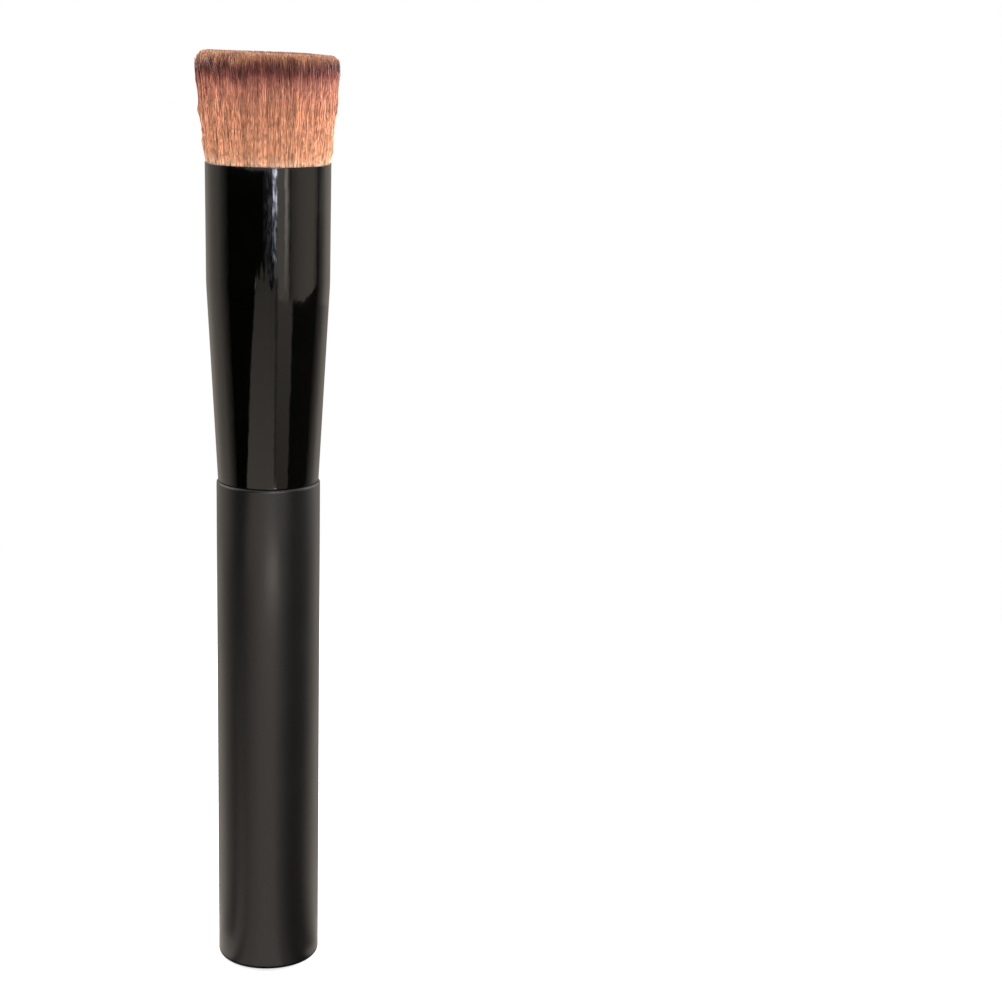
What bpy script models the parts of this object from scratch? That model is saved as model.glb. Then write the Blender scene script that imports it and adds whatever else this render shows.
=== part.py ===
"""A liquid foundation brush: a drawn metal handle, a tapered ferrule and a ring of flared fibres.

The brush stands on its flat foot, with the foot's centre at the origin and +Z up its length. The fibres
stand round a well in the middle of the head, which holds the liquid, and shorter fibres make its floor.
"""

import math
import random

import bmesh
import bpy

MM = 0.001

# Clearance between pieces that are glued, pressed or seated together
SEAT_GAP = 0.3 * MM

# Handle sleeve
SLEEVE_LENGTH = 76.5 * MM
SLEEVE_DIAMETER = 15.3 * MM
SLEEVE_WALL = 0.8 * MM
SLEEVE_FLOOR = 1.2 * MM
SLEEVE_FOOT_ROUNDING = 0.55 * MM
SLEEVE_MOUTH_ROUNDING = 0.2 * MM

# Ferrule
FERRULE_LENGTH = 47.45 * MM
FERRULE_CONE_LENGTH = 29.7 * MM
FERRULE_FOOT_DIAMETER = 14.84 * MM
FERRULE_SHOULDER_DIAMETER = 17.94 * MM
FERRULE_MOUTH_DIAMETER = 18.1 * MM
FERRULE_WALL = 0.4 * MM
FERRULE_EDGE_ROUNDING = 0.17 * MM
FERRULE_SHOULDER_ROUNDING = 30.0 * MM

# Handle core
WEIGHT_POCKET_ROUNDING = 0.3 * MM
CORE_FOOT_ROUNDING = 0.6 * MM
TENON_CHAMFER = 0.8 * MM
GLUE_GROOVE_COUNT = 3
GLUE_GROOVE_DEPTH = 0.5 * MM
GLUE_GROOVE_WIDTH = 1.6 * MM
GLUE_GROOVE_PITCH = 5.0 * MM
FIRST_GROOVE_HEIGHT = 5.0 * MM

# Balance weight
WEIGHT_DIAMETER = 9.0 * MM
WEIGHT_LENGTH = 14.0 * MM
WEIGHT_ROUNDING = 0.4 * MM

# Glue plug round the fibres' roots
PLUG_LENGTH = 12.0 * MM
PLUG_DEPTH_IN_MOUTH = 0.5 * MM
PLUG_CORE_DIAMETER = 7.2 * MM
WAIST_DEPTH = 0.9 * MM
WAIST_LENGTH = 2.7 * MM
WAIST_SHOULDER_LENGTH = 0.8 * MM

# Fibre head
HEAD_HEIGHT = 15.75 * MM
HEAD_DIAMETER = 20.9 * MM
HEAD_SLANT = 0.4 * MM
HEAD_EDGE_DROP = 0.9 * MM
HEAD_SWELL_HEIGHT = 1.6 * MM
HEAD_SWELL_DIAMETER = 18.3 * MM
WELL_MOUTH_DIAMETER = 9.4 * MM
WELL_EDGE_DROP = 0.4 * MM
WELL_DEPTH = 8.4 * MM
WELL_FLOOR_DIAMETER = 7.7 * MM
WELL_FLOOR_DISH = 0.6 * MM
TIP_UNEVENNESS = 0.12 * MM
TIP_SEED = 5

# Strands, each standing for a lock of fibres
SECTOR_COUNT = 12
SECTOR_COLUMNS = 5
SECTOR_ROWS = 5
TUFT_ROWS = 7
STRAND_ROOT_GAP = 0.2 * MM

# Faceting
OUTER_SIDES = 64
INNER_SIDES = 48
ROUNDING_STEPS = 3
SMOOTH_ANGLE = math.radians(35)
MERGE_DISTANCE = 0.02 * MM

# Heights and radii that follow from the sizes above
FERRULE_FOOT_HEIGHT = SLEEVE_LENGTH + SEAT_GAP
MOUTH_HEIGHT = FERRULE_FOOT_HEIGHT + FERRULE_LENGTH
CORE_FOOT_HEIGHT = SLEEVE_FLOOR + SEAT_GAP
CORE_RADIUS = SLEEVE_DIAMETER / 2 - SLEEVE_WALL - SEAT_GAP
TENON_RADIUS = FERRULE_FOOT_DIAMETER / 2 - FERRULE_WALL - SEAT_GAP
PLUG_TOP_HEIGHT = MOUTH_HEIGHT - PLUG_DEPTH_IN_MOUTH
PLUG_FOOT_HEIGHT = PLUG_TOP_HEIGHT - PLUG_LENGTH
TENON_TOP_HEIGHT = PLUG_FOOT_HEIGHT - SEAT_GAP
PLUG_RADIUS = FERRULE_SHOULDER_DIAMETER / 2 - FERRULE_WALL - SEAT_GAP
PLUG_CORE_RADIUS = PLUG_CORE_DIAMETER / 2
SLICE_INNER_RADIUS = PLUG_CORE_RADIUS + SEAT_GAP
WAIST_RADIUS = PLUG_RADIUS - WAIST_DEPTH
HEAD_TOP_HEIGHT = MOUTH_HEIGHT + HEAD_HEIGHT


def make_material(name, colour, metallic, roughness):
    """Returns a material with one Principled shader."""
    material = bpy.data.materials.new(name)
    material.use_nodes = True
    shader = material.node_tree.nodes["Principled BSDF"]
    shader.inputs["Base Color"].default_value = (*colour, 1.0)
    shader.inputs["Metallic"].default_value = metallic
    shader.inputs["Roughness"].default_value = roughness
    return material


def add_object(name, work, material):
    """Turns a bmesh into a named object with smooth round sides and sharp corners."""
    bmesh.ops.recalc_face_normals(work, faces=work.faces)
    mesh = bpy.data.meshes.new(name)
    work.to_mesh(mesh)
    work.free()
    mesh.shade_smooth()
    mesh.set_sharp_from_angle(angle=SMOOTH_ANGLE)
    mesh.materials.append(material)
    piece = bpy.data.objects.new(name, mesh)
    bpy.context.collection.objects.link(piece)


def rounded_corner(before, corner, after, rounding):
    """Returns the points of an arc that rounds one corner of an outline."""
    to_before = (before[0] - corner[0], before[1] - corner[1])
    to_after = (after[0] - corner[0], after[1] - corner[1])
    length_before = math.hypot(*to_before)
    length_after = math.hypot(*to_after)
    unit_before = (to_before[0] / length_before, to_before[1] / length_before)
    unit_after = (to_after[0] / length_after, to_after[1] / length_after)
    half_angle = math.acos(unit_before[0] * unit_after[0] + unit_before[1] * unit_after[1]) / 2
    tangent = rounding / math.tan(half_angle)
    middle = (unit_before[0] + unit_after[0], unit_before[1] + unit_after[1])
    reach = rounding / math.sin(half_angle) / math.hypot(*middle)
    centre = (corner[0] + middle[0] * reach, corner[1] + middle[1] * reach)
    start = (corner[0] + unit_before[0] * tangent, corner[1] + unit_before[1] * tangent)
    first_angle = math.atan2(start[1] - centre[1], start[0] - centre[0])
    end = (corner[0] + unit_after[0] * tangent, corner[1] + unit_after[1] * tangent)
    sweep = math.atan2(end[1] - centre[1], end[0] - centre[0]) - first_angle
    sweep = (sweep + math.pi) % (2 * math.pi) - math.pi
    angles = [first_angle + sweep * step / ROUNDING_STEPS for step in range(ROUNDING_STEPS + 1)]
    return [(centre[0] + rounding * math.cos(a), centre[1] + rounding * math.sin(a)) for a in angles]


def rounded_outline(corners, closed):
    """Returns outline points from (radius, height, rounding) corners."""
    points = []
    for number, (radius, height, rounding) in enumerate(corners):
        if rounding > 0:
            before = corners[number - 1]
            after = corners[(number + 1) % len(corners)]
            points += rounded_corner(before[:2], (radius, height), after[:2], rounding)
        else:
            points.append((radius, height))
    return points + points[:1] if closed else points


def turned(corners, sides, closed=False):
    """Spins an outline of corners once round the brush's axis."""
    work = bmesh.new()
    points = rounded_outline(corners, closed)
    verts = [work.verts.new((radius, 0.0, height)) for radius, height in points]
    edges = [work.edges.new(pair) for pair in zip(verts, verts[1:])]
    bmesh.ops.spin(
        work,
        geom=verts + edges,
        cent=(0.0, 0.0, 0.0),
        axis=(0.0, 0.0, 1.0),
        angle=2 * math.pi,
        steps=sides,
        use_merge=True,
    )
    bmesh.ops.remove_doubles(work, verts=work.verts, dist=MERGE_DISTANCE)
    return work


def handle_sleeve(material):
    """A drawn cup, open at the top, with a flat floor that the brush stands on."""
    outer = SLEEVE_DIAMETER / 2
    inner = outer - SLEEVE_WALL
    corners = [
        (0.0, 0.0, 0.0),
        (outer, 0.0, SLEEVE_FOOT_ROUNDING),
        (outer, SLEEVE_LENGTH, SLEEVE_MOUTH_ROUNDING),
        (inner, SLEEVE_LENGTH, 0.0),
        (inner, SLEEVE_FLOOR, 0.0),
        (0.0, SLEEVE_FLOOR, 0.0),
    ]
    add_object("handle_sleeve", turned(corners, OUTER_SIDES), material)


def ferrule(material):
    """A thin drawn tube: a cone on the handle's shoulder, then a near-cylinder to a rounded mouth."""
    foot = FERRULE_FOOT_DIAMETER / 2
    shoulder = FERRULE_SHOULDER_DIAMETER / 2
    mouth = FERRULE_MOUTH_DIAMETER / 2
    shoulder_height = FERRULE_FOOT_HEIGHT + FERRULE_CONE_LENGTH
    corners = [
        (foot, FERRULE_FOOT_HEIGHT, FERRULE_EDGE_ROUNDING),
        (shoulder, shoulder_height, FERRULE_SHOULDER_ROUNDING),
        (mouth, MOUTH_HEIGHT, FERRULE_EDGE_ROUNDING),
        (mouth - FERRULE_WALL, MOUTH_HEIGHT, FERRULE_EDGE_ROUNDING),
        (shoulder - FERRULE_WALL, shoulder_height, 0.0),
        (foot - FERRULE_WALL, FERRULE_FOOT_HEIGHT, 0.0),
    ]
    add_object("ferrule", turned(corners, OUTER_SIDES, closed=True), material)


def handle_core(material):
    """The core that fills the sleeve, with a pocket for the weight and a grooved tenon in the ferrule."""
    pocket = WEIGHT_DIAMETER / 2 + SEAT_GAP
    pocket_top = CORE_FOOT_HEIGHT + WEIGHT_LENGTH + SEAT_GAP
    corners = [
        (0.0, pocket_top, 0.0),
        (pocket, pocket_top, WEIGHT_POCKET_ROUNDING),
        (pocket, CORE_FOOT_HEIGHT, 0.0),
        (CORE_RADIUS, CORE_FOOT_HEIGHT, CORE_FOOT_ROUNDING),
        (CORE_RADIUS, SLEEVE_LENGTH, 0.0),
        (TENON_RADIUS, FERRULE_FOOT_HEIGHT, 0.0),
    ]
    for number in range(GLUE_GROOVE_COUNT):
        groove_height = FERRULE_FOOT_HEIGHT + FIRST_GROOVE_HEIGHT + number * GLUE_GROOVE_PITCH
        corners += [
            (TENON_RADIUS, groove_height, 0.0),
            (TENON_RADIUS - GLUE_GROOVE_DEPTH, groove_height + GLUE_GROOVE_WIDTH / 2, 0.0),
            (TENON_RADIUS, groove_height + GLUE_GROOVE_WIDTH, 0.0),
        ]
    corners += [
        (TENON_RADIUS, TENON_TOP_HEIGHT - TENON_CHAMFER, 0.0),
        (TENON_RADIUS - TENON_CHAMFER, TENON_TOP_HEIGHT, 0.0),
        (0.0, TENON_TOP_HEIGHT, 0.0),
    ]
    add_object("handle_core", turned(corners, INNER_SIDES), material)


def balance_weight(material):
    """A steel slug in the core's pocket, low down, so that the brush stands steadily."""
    radius = WEIGHT_DIAMETER / 2
    top = CORE_FOOT_HEIGHT + WEIGHT_LENGTH
    corners = [
        (0.0, CORE_FOOT_HEIGHT, 0.0),
        (radius, CORE_FOOT_HEIGHT, WEIGHT_ROUNDING),
        (radius, top, WEIGHT_ROUNDING),
        (0.0, top, 0.0),
    ]
    add_object("balance_weight", turned(corners, INNER_SIDES), material)


def binding_ring(material):
    """The hoop round the waist of the fibre bundle, just above the plug's foot."""
    inner = WAIST_RADIUS + SEAT_GAP
    top = PLUG_FOOT_HEIGHT + WAIST_LENGTH
    corners = [
        (inner, PLUG_FOOT_HEIGHT, 0.0),
        (PLUG_RADIUS, PLUG_FOOT_HEIGHT, 0.0),
        (PLUG_RADIUS, top, 0.0),
        (inner, top, 0.0),
    ]
    add_object("binding_ring", turned(corners, INNER_SIDES, closed=True), material)


def head_height(x, outward_share):
    """Height of the cut of the head: slanted from side to side, rounded at its rim and at the well."""
    radius = HEAD_DIAMETER / 2
    slant = HEAD_SLANT * (x + radius) / (2 * radius)
    rim_drop = HEAD_EDGE_DROP * outward_share**6
    well_drop = WELL_EDGE_DROP * (1 - outward_share) ** 4
    return HEAD_TOP_HEIGHT - TIP_UNEVENNESS - slant - rim_drop - well_drop


def extruded_down(work, faces, height, place, keep=False):
    """Extrudes a level region down to a height, sets its corners by place, and returns it as one face."""
    geometry = bmesh.ops.extrude_face_region(work, geom=faces)["geom"]
    if not keep:
        bmesh.ops.delete(work, geom=faces, context="FACES_ONLY")
    for vert in (item for item in geometry if isinstance(item, bmesh.types.BMVert)):
        vert.co.x, vert.co.y = place(vert.co.x, vert.co.y)
        vert.co.z = height
    lower = [item for item in geometry if isinstance(item, bmesh.types.BMFace)]
    if len(lower) == 1:
        return lower
    return bmesh.ops.dissolve_faces(work, faces=lower, use_verts=False)["region"]


def strand_roots(work, faces):
    """Insets each face of the plug's top and returns the small faces that the strands stand on."""
    bmesh.ops.inset_individual(work, faces=faces, thickness=STRAND_ROOT_GAP / 2, use_even_offset=True)
    return faces


def raised_strand(work, root, place):
    """Extrudes one root face and sets its corners by place, which gets each corner and the face's centre."""
    centre = root.calc_center_median()
    top = bmesh.ops.extrude_discrete_faces(work, faces=[root])["faces"][0]
    for vert in top.verts:
        vert.co = place(vert.co, centre)
    return top


def row_share(outward_share):
    """Share from the innermost row of strands to the outermost, from the share across the plug's ring."""
    half_row_share = 0.5 / SECTOR_ROWS
    return (outward_share - half_row_share) / (1 - 2 * half_row_share)


def sector_strand(work, root, unevenness):
    """One flared strand of the ring round the well. The outermost ones swell out over the ferrule's lip."""
    centre = root.calc_center_median()
    root_radius = math.hypot(centre.x, centre.y)
    root_ring_width = PLUG_RADIUS - SLICE_INNER_RADIUS
    share = row_share((root_radius - SLICE_INNER_RADIUS) / root_ring_width)
    half_depth = root_ring_width / SECTOR_ROWS / 2 - STRAND_ROOT_GAP / 2
    spread = (HEAD_DIAMETER - WELL_MOUTH_DIAMETER) / 2 / root_ring_width
    well_side = WELL_MOUTH_DIAMETER / 2 + half_depth * spread
    rim_side = HEAD_DIAMETER / 2 - half_depth * spread
    tip_radius = well_side + (rim_side - well_side) * share
    tip_x = centre.x * tip_radius / root_radius
    tip_height = head_height(tip_x, share) + unevenness.uniform(-TIP_UNEVENNESS, TIP_UNEVENNESS)

    def at(radius, height, depth_share):
        def place(corner, middle):
            corner_radius = math.hypot(corner.x, corner.y)
            depth = corner_radius - math.hypot(middle.x, middle.y)
            scale = (radius + depth * depth_share) / corner_radius
            return (corner.x * scale, corner.y * scale, height)

        return place

    if share > 1 - 0.5 / SECTOR_ROWS:
        swell_radius = HEAD_SWELL_DIAMETER / 2 - half_depth
        swell_height = MOUTH_HEIGHT + HEAD_SWELL_HEIGHT
        root = raised_strand(work, root, at(swell_radius, swell_height, 1.0))
    raised_strand(work, root, at(tip_radius, tip_height, spread))


def bristle_sector(number, material):
    """One slice of the glue plug, with the strands that are fused into it."""
    work = bmesh.new()
    bmesh.ops.create_grid(work, x_segments=SECTOR_COLUMNS, y_segments=SECTOR_ROWS, size=1.0)
    start = 2 * math.pi * number / SECTOR_COUNT
    width = 2 * math.pi / SECTOR_COUNT
    for vert in work.verts:
        across_share = (vert.co.x + 1) / 2
        outward_share = (vert.co.y + 1) / 2
        radius = SLICE_INNER_RADIUS + (PLUG_RADIUS - SLICE_INNER_RADIUS) * outward_share
        side_gap = math.asin(SEAT_GAP / 2 / radius)
        angle = start + side_gap + (width - 2 * side_gap) * across_share
        vert.co = (radius * math.cos(angle), radius * math.sin(angle), PLUG_TOP_HEIGHT)

    def unchanged(x, y):
        return x, y

    def waisted(x, y):
        radius = math.hypot(x, y)
        share = (radius - SLICE_INNER_RADIUS) / (PLUG_RADIUS - SLICE_INNER_RADIUS)
        scale = (radius - WAIST_DEPTH * share) / radius
        return x * scale, y * scale

    top_faces = list(work.faces)
    waist_top = PLUG_FOOT_HEIGHT + WAIST_LENGTH
    lower = extruded_down(work, top_faces, waist_top + WAIST_SHOULDER_LENGTH, unchanged, keep=True)
    lower = extruded_down(work, lower, waist_top, waisted)
    extruded_down(work, lower, PLUG_FOOT_HEIGHT, unchanged)
    bmesh.ops.recalc_face_normals(work, faces=work.faces)
    unevenness = random.Random(TIP_SEED + number)
    for root in strand_roots(work, top_faces):
        sector_strand(work, root, unevenness)
    add_object(f"bristle_sector_{number + 1:02d}", work, material)


def centre_tuft(material):
    """The round middle of the plug, with the short strands whose tips are the floor of the well."""
    work = bmesh.new()
    bmesh.ops.create_grid(work, x_segments=TUFT_ROWS, y_segments=TUFT_ROWS, size=1.0)
    for vert in work.verts:
        x, y = vert.co.x, vert.co.y
        vert.co.x = PLUG_CORE_RADIUS * x * math.sqrt(1 - y * y / 2)
        vert.co.y = PLUG_CORE_RADIUS * y * math.sqrt(1 - x * x / 2)
        vert.co.z = PLUG_TOP_HEIGHT

    def unchanged(x, y):
        return x, y

    top_faces = list(work.faces)
    extruded_down(work, top_faces, PLUG_FOOT_HEIGHT, unchanged, keep=True)
    bmesh.ops.recalc_face_normals(work, faces=work.faces)
    spread = WELL_FLOOR_DIAMETER / PLUG_CORE_DIAMETER
    unevenness = random.Random(TIP_SEED)
    floor_height = HEAD_TOP_HEIGHT - WELL_DEPTH
    for root in strand_roots(work, top_faces):
        centre = root.calc_center_median()
        share = math.hypot(centre.x, centre.y) / PLUG_CORE_RADIUS
        height = floor_height - WELL_FLOOR_DISH * (1 - share * share)
        height -= TIP_UNEVENNESS + unevenness.uniform(-TIP_UNEVENNESS, TIP_UNEVENNESS)

        def place(corner, middle, height=height):
            return (corner.x + middle.x * (spread - 1), corner.y + middle.y * (spread - 1), height)

        raised_strand(work, root, place)
    add_object("centre_tuft", work, material)


def build_brush():
    """Makes every piece of the brush in place."""
    for old in list(bpy.data.objects):
        bpy.data.objects.remove(old)
    matt_black = make_material("matt_black_anodised_aluminium", (0.018, 0.018, 0.02), 0.0, 0.5)
    gloss_black = make_material("gloss_black_lacquered_aluminium", (0.006, 0.006, 0.007), 0.0, 0.08)
    natural_abs = make_material("natural_abs", (0.6, 0.57, 0.5), 0.0, 0.45)
    steel = make_material("bright_steel", (0.55, 0.55, 0.56), 1.0, 0.35)
    nylon = make_material("copper_brown_nylon_fibre", (0.42, 0.17, 0.09), 0.0, 0.4)
    handle_sleeve(matt_black)
    handle_core(natural_abs)
    balance_weight(steel)
    ferrule(gloss_black)
    binding_ring(steel)
    centre_tuft(nylon)
    for number in range(SECTOR_COUNT):
        bristle_sector(number, nylon)


build_brush()
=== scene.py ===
# %% [markdown]
# # A liquid foundation brush
#
# This lesson dresses a measured model of a makeup brush: a matt black metal handle, a gloss black ferrule,
# and a head of copper-brown fibres cut flat round a well that holds the liquid. The measured solids are
# already in place, in metres, with the brush standing on its foot at the origin. The visible skin is made
# here: smooth turned shells, thousands of single fibres, and materials that explain themselves.

# %% Load the measured brush
import math
import random

import bmesh
import bpy
import numpy as np
from mathutils import Matrix, Vector


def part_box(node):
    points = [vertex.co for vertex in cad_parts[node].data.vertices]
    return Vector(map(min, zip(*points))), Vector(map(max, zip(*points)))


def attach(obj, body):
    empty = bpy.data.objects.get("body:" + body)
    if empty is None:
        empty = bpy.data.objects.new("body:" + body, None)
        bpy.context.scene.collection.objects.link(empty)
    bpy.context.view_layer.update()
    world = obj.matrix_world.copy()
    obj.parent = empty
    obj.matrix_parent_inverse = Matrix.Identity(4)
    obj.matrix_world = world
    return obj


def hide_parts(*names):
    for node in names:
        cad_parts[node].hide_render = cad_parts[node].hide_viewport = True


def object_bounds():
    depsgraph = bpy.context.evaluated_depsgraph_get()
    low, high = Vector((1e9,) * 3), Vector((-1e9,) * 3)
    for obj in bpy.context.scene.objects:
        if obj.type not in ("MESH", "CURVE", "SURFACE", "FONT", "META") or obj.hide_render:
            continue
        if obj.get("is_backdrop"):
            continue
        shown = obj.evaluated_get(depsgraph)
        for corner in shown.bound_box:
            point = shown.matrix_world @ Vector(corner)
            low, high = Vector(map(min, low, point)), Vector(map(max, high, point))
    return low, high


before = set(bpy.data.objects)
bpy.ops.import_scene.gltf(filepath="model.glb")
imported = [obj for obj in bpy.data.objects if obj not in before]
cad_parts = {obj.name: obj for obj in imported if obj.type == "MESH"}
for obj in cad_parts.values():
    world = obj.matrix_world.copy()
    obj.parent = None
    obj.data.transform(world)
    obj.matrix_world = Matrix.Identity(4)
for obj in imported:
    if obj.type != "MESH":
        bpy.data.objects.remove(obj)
cad_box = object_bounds()
MM = 0.001
print("measured box", [round(side / MM, 1) for side in cad_box[1] - cad_box[0]], "mm")

# %% [markdown]
# ## The camera
#
# The brush was photographed standing up, from a little above, with a long lens and the camera turned a few
# degrees to the right, so that the brush stands left of the middle. The camera also leans sideways by nearly
# a degree and a half. The lens is given as the distance in pixels from the eye to the picture, because that
# is what an outline can be fitted to. Blender asks for it in millimetres, for a sensor of a set width.

# %% Place the camera
PICTURE_PIXELS = 1002
LENS_PIXELS = 2201
SENSOR_MILLIMETRES = 36.0
CAMERA_DISTANCE = 325.6 * MM
CAMERA_HEIGHT = 152.0 * MM
CAMERA_TURN = math.radians(6.205)
CAMERA_DIP = math.radians(13.509)
CAMERA_ROLL = math.radians(1.426)
NEAREST_SEEN = 10 * MM

camera = bpy.data.objects.new("camera", bpy.data.cameras.new("camera"))
bpy.context.collection.objects.link(camera)
bpy.context.scene.camera = camera
camera.data.sensor_width = SENSOR_MILLIMETRES
camera.data.lens = SENSOR_MILLIMETRES * LENS_PIXELS / PICTURE_PIXELS
camera.data.clip_start = NEAREST_SEEN
aim = (
    Matrix.Rotation(-CAMERA_TURN, 4, "Z")
    @ Matrix.Rotation(math.pi / 2 - CAMERA_DIP, 4, "X")
    @ Matrix.Rotation(CAMERA_ROLL, 4, "Z")
)
camera.matrix_world = Matrix.Translation((0, -CAMERA_DISTANCE, CAMERA_HEIGHT)) @ aim
bpy.context.scene.view_settings.view_transform = "Standard"
print("lens", round(camera.data.lens, 1), "mm")

# %% [markdown]
# ## Helpers for materials
#
# Colours are written as they look on a screen, in hex, and one function turns them to the linear values that
# a shader counts in. Every node is added by one function too, with its settings and its links in one call.
# Inputs are named, or numbered where a node has several of one name: a Mix node that mixes colours takes
# them at inputs 6 and 7 and gives the result at output 2.


# %% A helper for colours
def linear(hex_colour):
    """Turns an sRGB hex colour to linear red, green, blue and alpha."""
    channels = [int(hex_colour[i : i + 2], 16) / 255 for i in (1, 3, 5)]
    return (*[c / 12.92 if c <= 0.04045 else ((c + 0.055) / 1.055) ** 2.4 for c in channels], 1.0)


print("a screen grey of #808080 is", round(linear("#808080")[0], 3), "in linear light")


# %% Helpers for nodes
def add_node(tree, kind, inputs=None, **settings):
    """Adds a node. Each input gets a value or a link from another node's output socket."""
    made = tree.nodes.new(kind)
    for name, value in settings.items():
        setattr(made, name, value)
    for name, value in (inputs or {}).items():
        if isinstance(value, bpy.types.NodeSocket):
            tree.links.new(value, made.inputs[name])
        else:
            made.inputs[name].default_value = value
    return made


def new_material(name):
    """Returns a new material and its empty node tree."""
    material = bpy.data.materials.new(name)
    material.use_nodes = True
    material.node_tree.nodes.clear()
    return material, material.node_tree


def finished(material, surface):
    """Links the last shader to the output and returns the material."""
    add_node(material.node_tree, "ShaderNodeOutputMaterial", {"Surface": surface.outputs[0]})
    print(material.name, "has", len(material.node_tree.nodes), "nodes")
    return material


def per_metre(size):
    """The Scale of a noise pattern whose features are as large as size."""
    return 1.0 / size


# %% [markdown]
# ## The studio
#
# The brush stands on a white floor in an even white room, so that nothing distracts from it. A white floor
# that is only lit would go grey towards its edges, and more light would bleach the brush. So the floor's
# look is parted from its light. The camera and the reflections see a plain white glow, which near the brush
# is half lit paper and keeps the brush's soft shadow, while the light that falls on the floor meets white
# paper and goes on to the brush. The room behind is split the same way.


# %% A helper that tells a look from falling light
def any_sight(tree):
    """A socket that is 1 for what the camera, a reflection or clear glass sees, and 0 for falling light."""
    path = add_node(tree, "ShaderNodeLightPath")
    sight = path.outputs["Is Camera Ray"]
    for ray in ("Is Glossy Ray", "Is Transmission Ray"):
        either = add_node(tree, "ShaderNodeMath", {0: sight, 1: path.outputs[ray]}, operation="MAXIMUM")
        sight = either.outputs[0]
    return sight


# %% White paper for the floor
LIT_FLOOR_RADIUS = 120 * MM
WHITE_FLOOR_RADIUS = 260 * MM
FLOOR_GLOW = 0.55


def lit_and_glowing_white():
    """White paper. What the camera and reflections see of it fades to a plain white glow further out."""
    material, tree = new_material("white_paper_sweep")
    place = add_node(tree, "ShaderNodeTexCoord")
    distance = add_node(tree, "ShaderNodeVectorMath", {0: place.outputs["Object"]}, operation="LENGTH")
    far_away = add_node(
        tree,
        "ShaderNodeMapRange",
        {"Value": distance.outputs["Value"], "From Min": LIT_FLOOR_RADIUS, "From Max": WHITE_FLOOR_RADIUS},
        interpolation_type="SMOOTHSTEP",
    )
    paper = add_node(tree, "ShaderNodeBsdfDiffuse", {"Color": linear("#E6E6E6")})
    dim_paper = add_node(tree, "ShaderNodeBsdfDiffuse", {"Color": linear("#BCBCBC")})
    glow = add_node(tree, "ShaderNodeEmission", {"Strength": FLOOR_GLOW})
    near = add_node(tree, "ShaderNodeAddShader", {0: dim_paper.outputs[0], 1: glow.outputs[0]})
    far = add_node(tree, "ShaderNodeEmission", {"Strength": 1.0})
    view = add_node(
        tree,
        "ShaderNodeMixShader",
        {0: far_away.outputs["Result"], 1: near.outputs[0], 2: far.outputs[0]},
    )
    mix = add_node(
        tree, "ShaderNodeMixShader", {0: any_sight(tree), 1: paper.outputs[0], 2: view.outputs[0]}
    )
    return finished(material, mix)


# %% Lay the floor
FLOOR_SIZE = 6000 * MM


def link_mesh(name, work, material, smooth=False):
    """Turns a bmesh into an object at the origin."""
    mesh = bpy.data.meshes.new(name)
    work.to_mesh(mesh)
    work.free()
    if smooth:
        mesh.shade_smooth()
    mesh.materials.append(material)
    made = bpy.data.objects.new(name, mesh)
    bpy.context.collection.objects.link(made)
    return made


work = bmesh.new()
bmesh.ops.create_grid(work, x_segments=1, y_segments=1, size=FLOOR_SIZE / 2)
floor = link_mesh("floor", work, lit_and_glowing_white())
floor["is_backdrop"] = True
print("floor", FLOOR_SIZE / MM, "mm across")

# %% Light the room
ROOM_LIGHT = 0.55

world = bpy.data.worlds.new("white_room")
bpy.context.scene.world = world
world.use_nodes = True
room = world.node_tree
room.nodes.clear()
lit_by_room = add_node(
    room, "ShaderNodeBackground", {"Color": linear("#FFFFFF"), "Strength": ROOM_LIGHT}
)
seen_room = add_node(room, "ShaderNodeBackground", {"Color": linear("#FFFFFF"), "Strength": 1.0})
room_mix = add_node(
    room,
    "ShaderNodeMixShader",
    {0: any_sight(room), 1: lit_by_room.outputs[0], 2: seen_room.outputs[0]},
)
add_node(room, "ShaderNodeOutputWorld", {"Surface": room_mix.outputs[0]})
print("room light", ROOM_LIGHT)

# %% [markdown]
# ## The lamps
#
# Four soft boxes light the brush: a key in front and a little to the right, one at each side slightly
# behind, which make the fibres at the edges of the head glow, and one high above and a little behind for the
# cut of the head. The left one hangs higher than the right one. One large lamp would be simpler, but the
# sides of the head would then go dull.

# %% Hang the lamps
SOFT_BOX_SIZE = 260 * MM
LAMP_AIM = Vector((0, 0, 100 * MM))


def soft_box(name, azimuth, height, distance, watts):
    """A square area lamp that looks at the upper part of the brush. Azimuth 0 is the camera's side."""
    lamp = bpy.data.lights.new(name, "AREA")
    lamp.shape = "SQUARE"
    lamp.size = SOFT_BOX_SIZE
    lamp.energy = watts
    made = bpy.data.objects.new(name, lamp)
    bpy.context.collection.objects.link(made)
    turn = math.radians(azimuth)
    place = Vector((math.sin(turn) * distance, -math.cos(turn) * distance, height))
    made.location = place
    made.rotation_euler = (place - LAMP_AIM).to_track_quat("Z", "Y").to_euler()
    made.visible_camera = False
    print(name, watts, "W,", round((place - LAMP_AIM).length / MM), "mm from what it lights")


soft_box("key_box", 14, 330 * MM, 600 * MM, 3.2)
soft_box("left_box", -118, 320 * MM, 380 * MM, 2.2)
soft_box("right_box", 112, 220 * MM, 420 * MM, 2.6)
soft_box("top_box", 180, 620 * MM, 140 * MM, 1.7)

# %% [markdown]
# ## Cards for the reflections
#
# Gloss black shows nothing of its own: what the eye reads as its shape is the room mirrored in it. Painting
# the bands on the metal would fix them to it, and they would be wrong from any other side. So the ferrule
# gets what a studio gives it, cards stood round the brush that only reflections see. White ones make the
# pale bands, black ones, called flags, make the deep black bands, and a thin strip makes the spark. The
# matt handle blurs the lower cards into its soft shading, a short bright strip makes its highlight under
# the ferrule, and a glow that lies close round the foot at each side follows its rounded edge.

# %% Paper for the cards
GLOW = "glow"


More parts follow.
